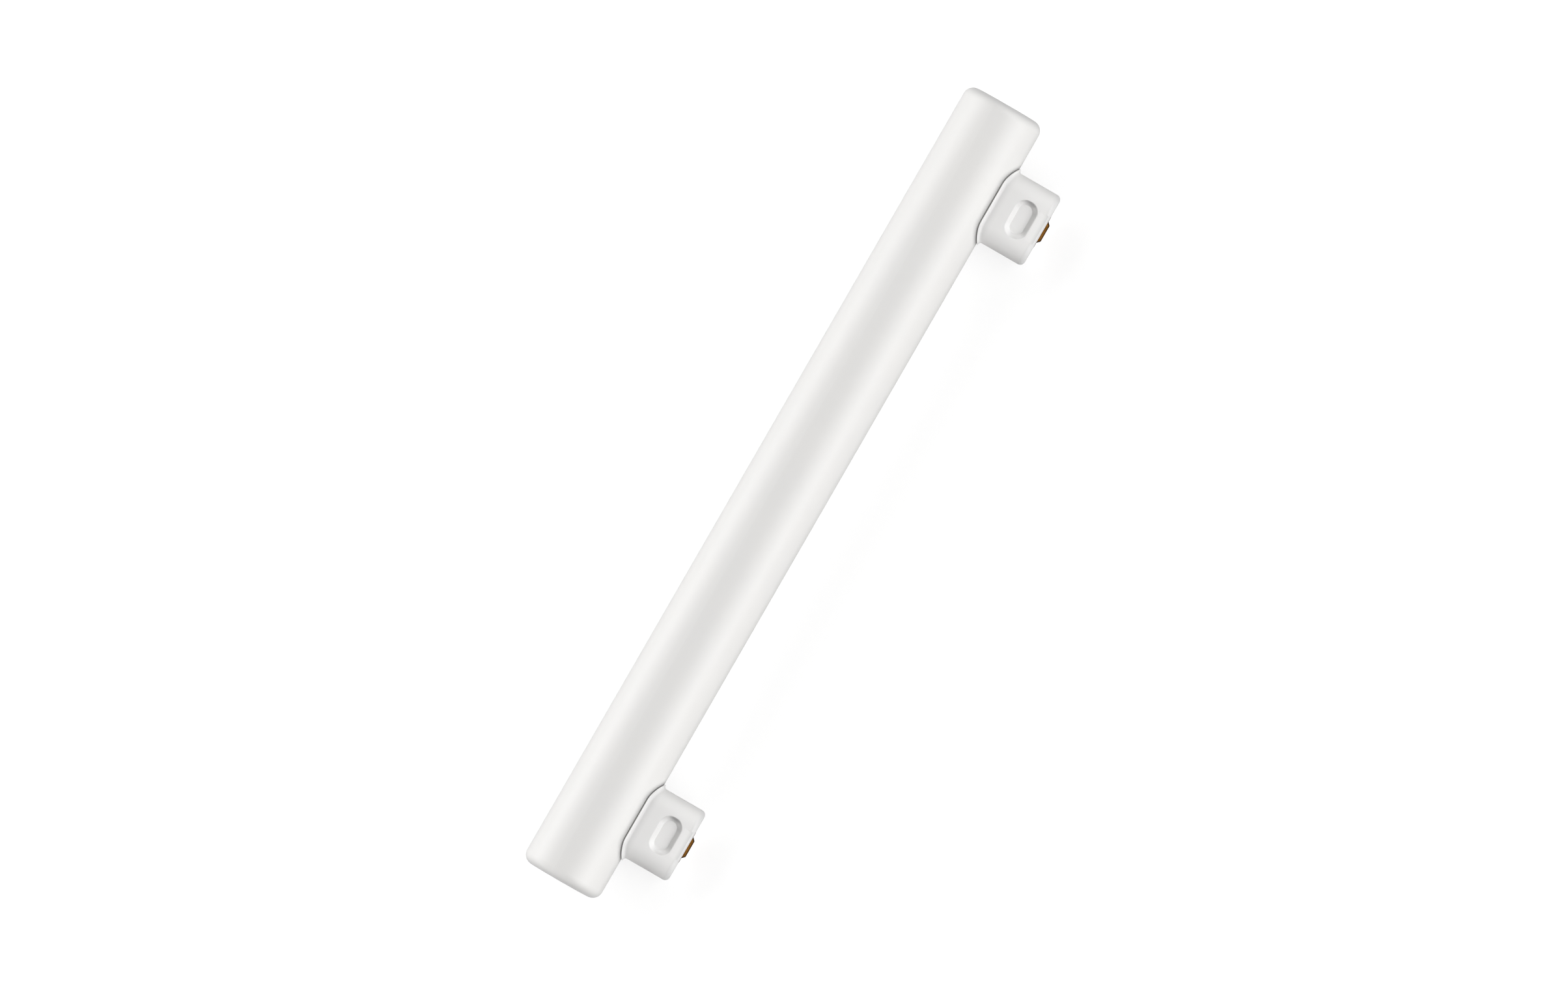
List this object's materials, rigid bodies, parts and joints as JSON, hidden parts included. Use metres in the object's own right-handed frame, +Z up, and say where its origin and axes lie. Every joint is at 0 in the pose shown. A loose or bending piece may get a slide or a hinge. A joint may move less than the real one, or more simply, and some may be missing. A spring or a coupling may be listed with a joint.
{
  "type": "tubular light bulb",
  "caption": "Straight opal white tube lamp with flat rounded ends, carried on short side bases that have latch recesses and a stamped contact on the end.",
  "frame": {"origin": "centre of the lamp's outline seen from above, on the surface that it rests on", "axes": "+X along the tube, +Y from the tube towards the bases, +Z up; the bases dip 14 degrees below level so that their end edges rest on the surface with the tube"},
  "size_m": [0.3, 0.0468, 0.029],
  "materials": {
    "opal_tube": "satin opal white",
    "white_base": "moulded, fine matt",
    "contact_metal": "stamped, dull brown copper alloy",
    "tinned_wire": "tinned"
  },
  "bodies": {
    "root": {"tube": "opal_tube", "base_left": "white_base", "base_right": "white_base", "contact_left": "contact_metal", "contact_right": "contact_metal", "lead_wire_left": "tinned_wire", "lead_wire_right": "tinned_wire"}
  },
  "joints": []
}
